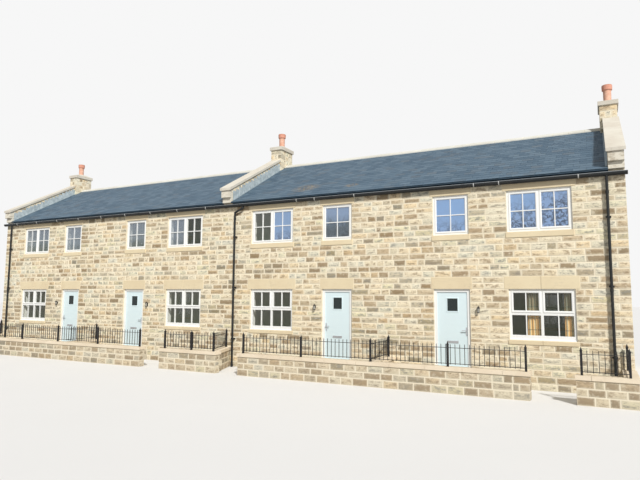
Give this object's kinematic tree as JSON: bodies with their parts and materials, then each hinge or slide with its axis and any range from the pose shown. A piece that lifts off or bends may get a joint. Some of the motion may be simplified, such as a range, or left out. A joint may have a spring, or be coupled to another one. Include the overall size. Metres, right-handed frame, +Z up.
{
  "type": "terraced house row",
  "caption": "Row of two-storey stone cottages in mirrored pairs, with gable parapets and chimneys, white casements, hinged front doors and railed front gardens.",
  "frame": {"origin": "centre of the bounding box at the lowest ground level", "axes": "+X along the house fronts to the viewer's right, +Y from the fronts to the backs, +Z up"},
  "size_m": [24.22, 8.85, 8.89],
  "materials": {
    "coursed_stone": "matte",
    "dressed_stone": "matte",
    "floor_screed": "matte",
    "floor_boards": "satin",
    "roof_slate": "satin",
    "terracotta": "matte",
    "black_rainwater": "satin",
    "white_frame": "satin",
    "window_pane": "clear",
    "curtain_cloth": "matte",
    "lantern_black": "satin",
    "railing_black": "satin",
    "door_paint": "satin",
    "door_pane": "clear",
    "door_metal": "brushed",
    "lead_flashing": "matte"
  },
  "bodies": {
    "row": {"front_wall_1": "coursed_stone", "front_wall_2": "coursed_stone", "front_wall_3": "coursed_stone", "front_wall_4": "coursed_stone", "front_wall_5": "coursed_stone", "front_wall_6": "coursed_stone", "front_wall_over_doors": "coursed_stone", "back_wall": "coursed_stone", "gable_wall_left": "coursed_stone", "party_wall_middle": "coursed_stone", "gable_wall_right": "coursed_stone", "chimney_stacks": "coursed_stone", "garden_wall_left": "coursed_stone", "garden_wall_middle": "coursed_stone", "garden_wall_right": "coursed_stone", "ridge_tiles": "dressed_stone", "gable_copings": "dressed_stone", "chimney_caps": "dressed_stone", "lintels": "dressed_stone", "window_sills": "dressed_stone", "door_sills": "dressed_stone", "garden_copings": "dressed_stone", "ground_floor": "floor_screed", "first_floor": "floor_boards", "roof_front": "roof_slate", "roof_back": "roof_slate", "chimney_pots": "terracotta", "gutters": "black_rainwater", "downpipes": "black_rainwater", "window_frames": "white_frame", "door_frames": "white_frame", "window_glass": "window_pane", "curtains": "curtain_cloth", "wall_lanterns": "lantern_black", "railings_left": "railing_black", "railings_middle": "railing_black", "railings_right": "railing_black"},
    "front_door_1": {"door_1": "door_paint", "door_glass_1": "door_pane", "door_handle_1": "door_metal"},
    "front_door_2": {"door_2": "door_paint", "door_glass_2": "door_pane", "door_handle_2": "door_metal"},
    "front_door_3": {"door_3": "door_paint", "door_glass_3": "door_pane", "door_handle_3": "door_metal"},
    "front_door_4": {"door_4": "door_paint", "door_glass_4": "door_pane", "door_handle_4": "door_metal"}
  },
  "joints": [
    {"name": "front_door_1_hinge", "type": "hinge", "parent": "row", "child": "front_door_1", "pos_m": [-7.304, -2.655, 0.43], "axis": [0, 0, -1], "range_deg": [0, 90]},
    {"name": "front_door_2_hinge", "type": "hinge", "parent": "row", "child": "front_door_2", "pos_m": [-4.656, -2.655, 0.43], "axis": [0, 0, 1], "range_deg": [0, 90]},
    {"name": "front_door_3_hinge", "type": "hinge", "parent": "row", "child": "front_door_3", "pos_m": [4.661, -2.655, 0.43], "axis": [0, 0, -1], "range_deg": [0, 90]},
    {"name": "front_door_4_hinge", "type": "hinge", "parent": "row", "child": "front_door_4", "pos_m": [7.309, -2.655, 0.43], "axis": [0, 0, 1], "range_deg": [0, 90]}
  ]
}
